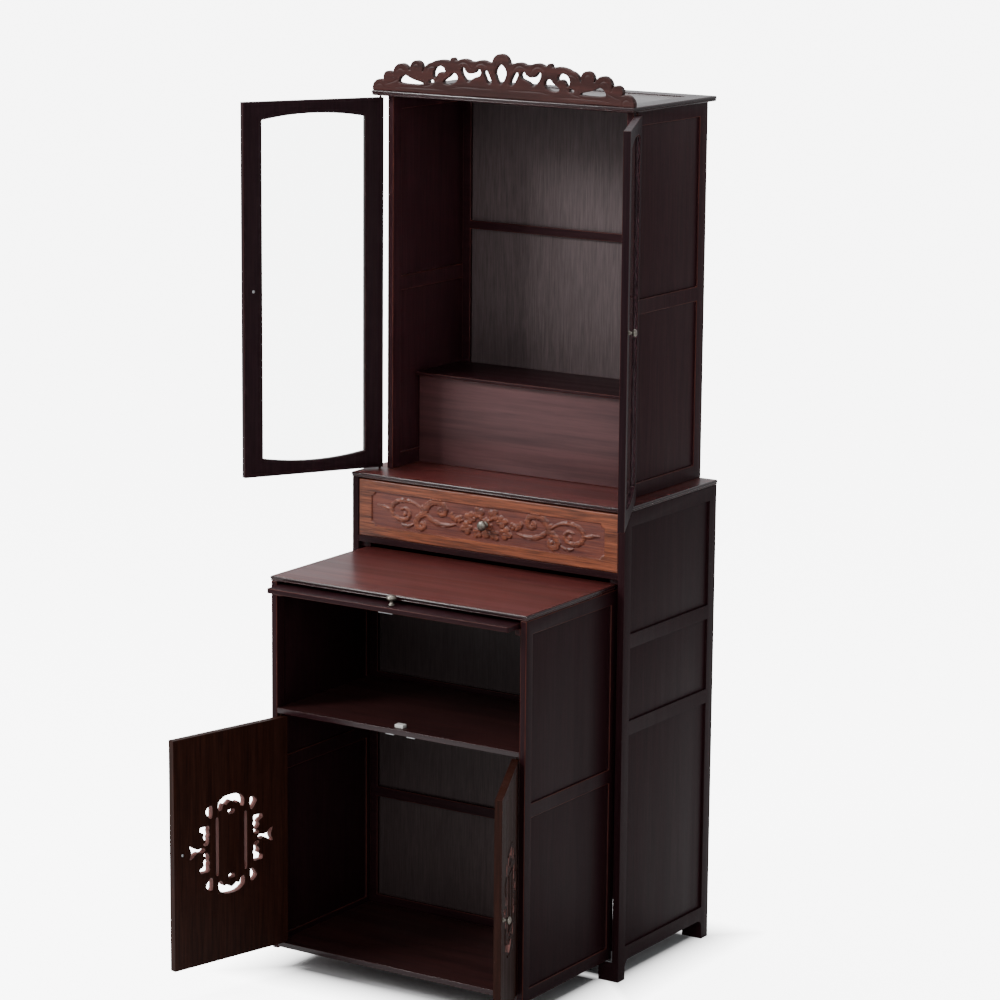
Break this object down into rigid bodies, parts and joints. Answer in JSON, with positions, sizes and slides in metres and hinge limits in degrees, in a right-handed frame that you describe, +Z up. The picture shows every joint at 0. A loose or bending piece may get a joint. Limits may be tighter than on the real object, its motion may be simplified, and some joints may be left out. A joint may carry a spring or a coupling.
{
  "type": "household altar cabinet",
  "caption": "Standing altar cabinet: a shrine with open glazed doors and a step, on a case with a drawer and a pull-out table cabinet with carved doors.",
  "frame": {"origin": "middle of the bounding box's footprint, on the floor", "axes": "+Z up, +Y towards the back, the drawer and the doors open towards -Y, +X to the viewer's right"},
  "size_m": [0.9609, 0.9832, 1.9153],
  "materials": {
    "dark_wood": "dark brown stain under satin lacquer",
    "red_wood": "red-brown stain under satin lacquer",
    "carved_wood": "warm brown stain with visible grain, satin",
    "crest_wood": "brown stain, satin",
    "grey_wood": "grey-brown stain, flat",
    "pewter": "antique grey metal, satin",
    "steel": "bright, satin",
    "white_plastic": "white",
    "glass": "clear"
  },
  "bodies": {
    "cabinet": {"case_left_frame": "dark_wood", "case_right_frame": "dark_wood", "case_left_lower_panel": "dark_wood", "case_left_middle_panel": "dark_wood", "case_left_upper_panel": "dark_wood", "case_right_lower_panel": "dark_wood", "case_right_middle_panel": "dark_wood", "case_right_upper_panel": "dark_wood", "case_drawer_frame": "dark_wood", "shrine_left_frame": "dark_wood", "shrine_right_frame": "dark_wood", "shrine_left_lower_panel": "dark_wood", "shrine_left_upper_panel": "dark_wood", "shrine_right_lower_panel": "dark_wood", "shrine_right_upper_panel": "dark_wood", "shrine_back_frame": "dark_wood", "shrine_top_frame": "dark_wood", "step_tread": "dark_wood", "case_top": "red_wood", "step_riser": "red_wood", "crest": "crest_wood", "case_back": "grey_wood", "shrine_back_panel": "grey_wood", "shrine_top_panel": "grey_wood", "case_left_track": "steel", "case_right_track": "steel"},
    "shrine_left_door": {"shrine_left_door_frame": "dark_wood", "shrine_left_door_glass": "glass", "shrine_left_door_knob": "pewter"},
    "shrine_right_door": {"shrine_right_door_frame": "dark_wood", "shrine_right_door_glass": "glass", "shrine_right_door_knob": "pewter"},
    "drawer": {"drawer_front": "carved_wood", "drawer_box": "red_wood", "drawer_knob": "pewter"},
    "table": {"table_left_frame": "dark_wood", "table_right_frame": "dark_wood", "table_left_lower_panel": "dark_wood", "table_left_upper_panel": "dark_wood", "table_right_lower_panel": "dark_wood", "table_right_upper_panel": "dark_wood", "table_back_frame": "dark_wood", "flap_left_track": "dark_wood", "flap_right_track": "dark_wood", "table_top": "red_wood", "table_shelf": "red_wood", "table_floor": "red_wood", "table_back_panel": "grey_wood", "left_door_catch": "steel", "right_door_catch": "steel", "flap_catch": "white_plastic"},
    "flap": {"flap_panel": "dark_wood", "flap_knob": "pewter", "flap_strike": "steel"},
    "table_left_door": {"table_left_door_panel": "carved_wood", "table_left_door_knob": "pewter"},
    "table_right_door": {"table_right_door_panel": "carved_wood", "table_right_door_knob": "pewter"}
  },
  "joints": [
    {"name": "shrine_left_door_hinge", "type": "hinge", "parent": "cabinet", "child": "shrine_left_door", "pos_m": [-0.30691, 0.18162, 1.016], "axis": [0, 0, 1], "range_deg": [-49.4, 120.6]},
    {"name": "shrine_right_door_hinge", "type": "hinge", "parent": "cabinet", "child": "shrine_right_door", "pos_m": [0.32309, 0.18162, 1.016], "axis": [0, 0, 1], "range_deg": [-116.9, 53.1]},
    {"name": "drawer_slide", "type": "slide", "parent": "cabinet", "child": "drawer", "axis": [0, -1, 0], "range_m": [0, 0.26]},
    {"name": "table_slide", "type": "slide", "parent": "cabinet", "child": "table", "axis": [0, 1, 0], "range_m": [0, 0.328]},
    {"name": "flap_slide", "type": "slide", "parent": "table", "child": "flap", "axis": [0, -1, 0], "range_m": [0, 0.225]},
    {"name": "table_left_door_hinge", "type": "hinge", "parent": "table", "child": "table_left_door", "pos_m": [-0.28341, -0.20738, 0.0615], "axis": [0, 0, 1], "range_deg": [-13.5, 104.5]},
    {"name": "table_right_door_hinge", "type": "hinge", "parent": "table", "child": "table_right_door", "pos_m": [0.29959, -0.20738, 0.0615], "axis": [0, 0, 1], "range_deg": [-116.6, 1.4]}
  ]
}
